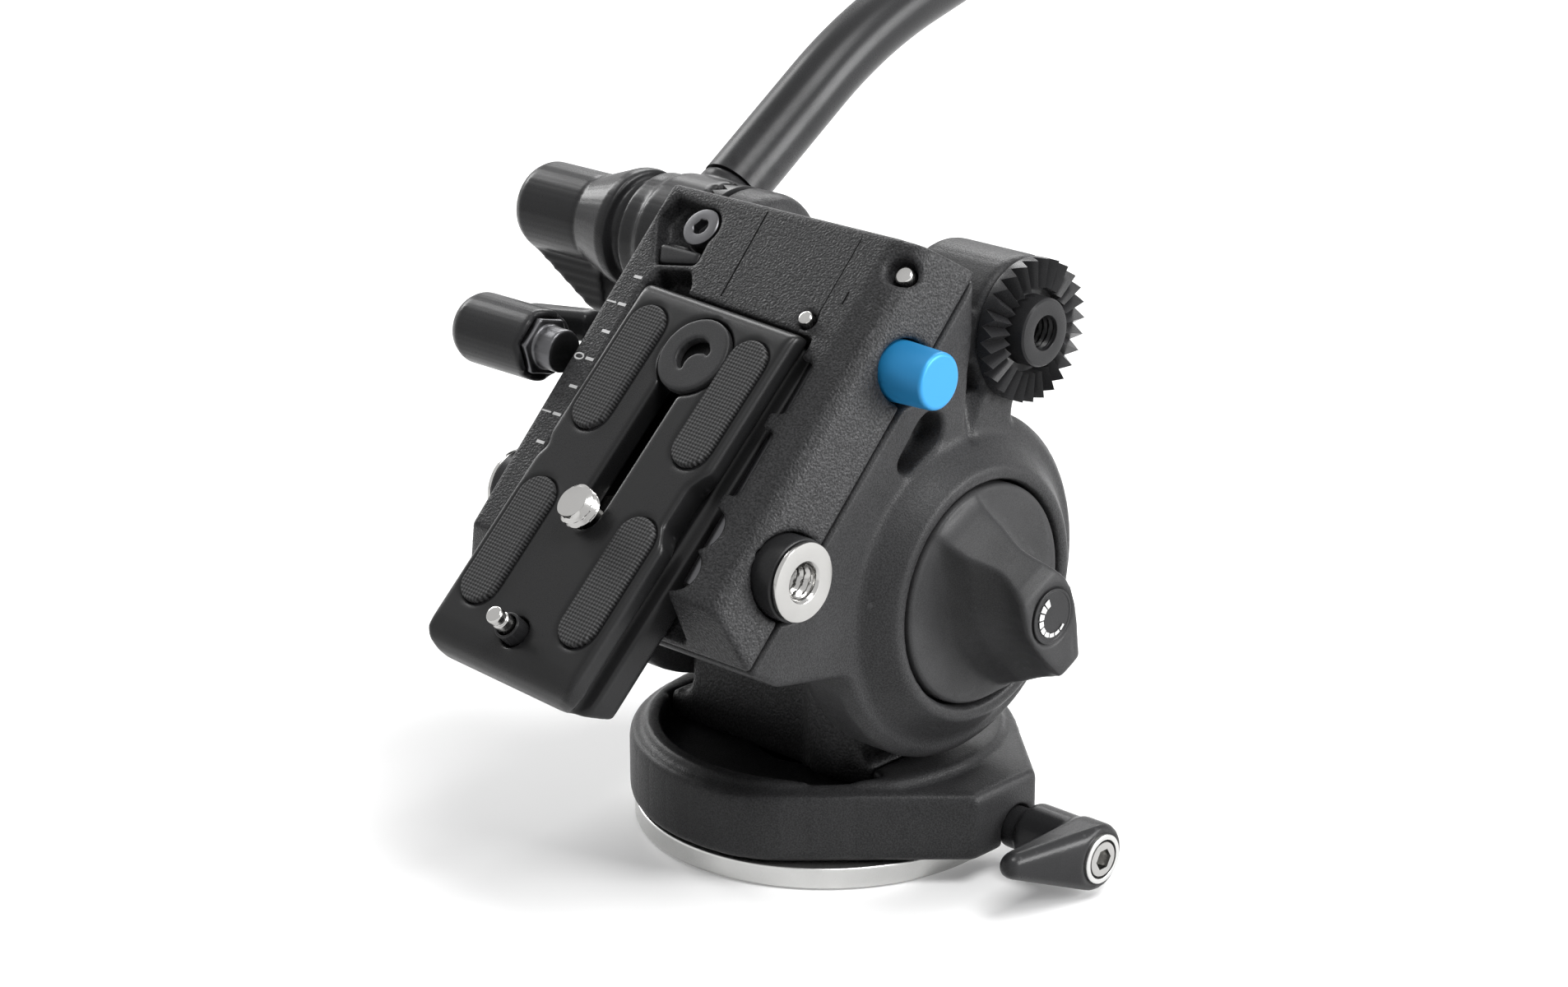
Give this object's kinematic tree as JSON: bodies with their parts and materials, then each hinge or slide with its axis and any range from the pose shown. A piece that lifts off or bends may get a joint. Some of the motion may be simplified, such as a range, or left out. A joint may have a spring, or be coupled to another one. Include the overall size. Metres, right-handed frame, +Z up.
{
  "type": "compact video tripod head",
  "caption": "Flat-based fluid-style video head with a tilting platform, a sliding camera plate, toothed side rosettes, lock knobs and a curved pan bar.",
  "frame": {"origin": "centre of the flat underside of the base, on the pan axis", "axes": "+Z up along the pan axis; -Y is the front, where the lens points; +X is the side of the tilt lock knob"},
  "size_m": [0.1308, 0.3054, 0.1755],
  "materials": {
    "silver": "satin machined aluminium",
    "steel": "bright turned steel",
    "black_plastic": "fine matt moulded plastic",
    "black_paint": "satin black paint over a casting",
    "black_casting": "fine textured black paint over a casting",
    "black_anodised": "smooth black anodised aluminium",
    "blue_anodised": "bright blue anodised aluminium",
    "pad_rubber": "knurled black rubber",
    "grip_foam": "closed-cell black foam"
  },
  "bodies": {
    "base": {"base_ring": "silver", "base_thread_bush": "steel", "pan_retainer": "steel", "pan_bearing": "black_plastic"},
    "pan_body": {"pan_housing": "black_paint", "stalk": "black_casting", "tilt_axle": "steel"},
    "pan_lock": {"pan_lock_lever": "black_paint", "pan_lock_ring": "silver", "pan_lock_screw": "steel"},
    "tilt_body": {"tilt_housing": "black_casting", "axle_cap": "black_plastic", "rosette_right": "black_paint", "rosette_left": "black_paint", "platform": "black_casting", "clamp_bar": "steel", "clamp_pivot_pin": "steel", "insert_sleeve_right": "black_anodised", "insert_right": "silver", "insert_sleeve_left": "black_anodised", "insert_left": "silver", "stop_screw": "steel", "stop_block": "black_paint"},
    "tilt_knob": {"tilt_lock_knob": "black_plastic", "tilt_knob_label": "black_plastic"},
    "button": {"release_button": "blue_anodised"},
    "plate_catch": {"safety_pin": "steel"},
    "plate_knob": {"plate_lock_knob": "black_anodised", "plate_lock_shaft": "steel"},
    "plate_body": {"camera_plate": "black_anodised", "plate_pad_1": "pad_rubber", "plate_pad_2": "pad_rubber", "plate_pad_3": "pad_rubber", "plate_pad_4": "pad_rubber", "plate_disc": "black_plastic", "video_pin_base": "black_anodised"},
    "screw_carriage": {"screw_washer": "steel"},
    "screw_body": {"camera_screw": "steel"},
    "index_pin": {"video_pin": "steel"},
    "pan_bar": {"pan_bar_hub": "black_paint", "pan_bar_tube": "black_paint", "pan_bar_grip": "grip_foam"},
    "bar_knob": {"bar_clamp_knob": "black_plastic", "bar_clamp_bolt": "steel"}
  },
  "joints": [
    {"name": "pan", "type": "hinge", "parent": "base", "child": "pan_body", "pos_m": [0, 0, 0], "axis": [0, 0, 1], "continuous": true},
    {"name": "pan_lock_turn", "type": "hinge", "parent": "pan_body", "child": "pan_lock", "pos_m": [0.038, 0.005, 0.0064], "axis": [1, 0, 0], "range_deg": [-100, 0]},
    {"name": "tilt", "type": "hinge", "parent": "pan_body", "child": "tilt_body", "pos_m": [0, 0, 0.0455], "axis": [1, 0, 0], "range_deg": [-95.6, 34.4]},
    {"name": "tilt_lock_turn", "type": "hinge", "parent": "tilt_body", "child": "tilt_knob", "pos_m": [0.03, 0, 0.0455], "axis": [1, 0, 0], "range_deg": [-90, 15]},
    {"name": "button_press", "type": "slide", "parent": "tilt_body", "child": "button", "axis": [-1, 0, 0], "range_m": [0, 0.0026], "stiffness_N_per_m": 400, "springref_m": -0.001},
    {"name": "catch_drop", "type": "slide", "parent": "tilt_body", "child": "plate_catch", "axis": [0, -0.7145, 0.6997], "range_m": [-0.0024, 0]},
    {"name": "plate_lock_turn", "type": "hinge", "parent": "tilt_body", "child": "plate_knob", "pos_m": [-0.03, -0.02933, 0.07758], "axis": [1, 0, 0], "range_deg": [-90, 90]},
    {"name": "plate_slide", "type": "slide", "parent": "tilt_body", "child": "plate_body", "axis": [0, 0.6997, 0.7145], "range_m": [-0.02, 0]},
    {"name": "screw_slide", "type": "slide", "parent": "plate_body", "child": "screw_carriage", "axis": [0.0523, 0.6987, 0.7135], "range_m": [0, 0.018]},
    {"name": "screw_turn", "type": "hinge", "parent": "screw_carriage", "child": "screw_body", "pos_m": [-0.0019, -0.04553, 0.05903], "axis": [0, -0.7145, 0.6997], "continuous": true},
    {"name": "pin_press", "type": "slide", "parent": "plate_body", "child": "index_pin", "axis": [0, 0.7145, -0.6997], "range_m": [0, 0.004], "stiffness_N_per_m": 300, "springref_m": -0.001},
    {"name": "bar_swing", "type": "hinge", "parent": "tilt_body", "child": "pan_bar", "pos_m": [-0.04, 0.01289, 0.08382], "axis": [1, 0, 0], "range_deg": [-75, 75]},
    {"name": "bar_clamp_turn", "type": "hinge", "parent": "pan_bar", "child": "bar_knob", "pos_m": [-0.06, 0.01289, 0.08382], "axis": [1, 0, 0], "range_deg": [-90, 90]}
  ],
  "couplings": [
    {"joint": "catch_drop", "follows": "button_press", "ratio": -0.92}
  ]
}
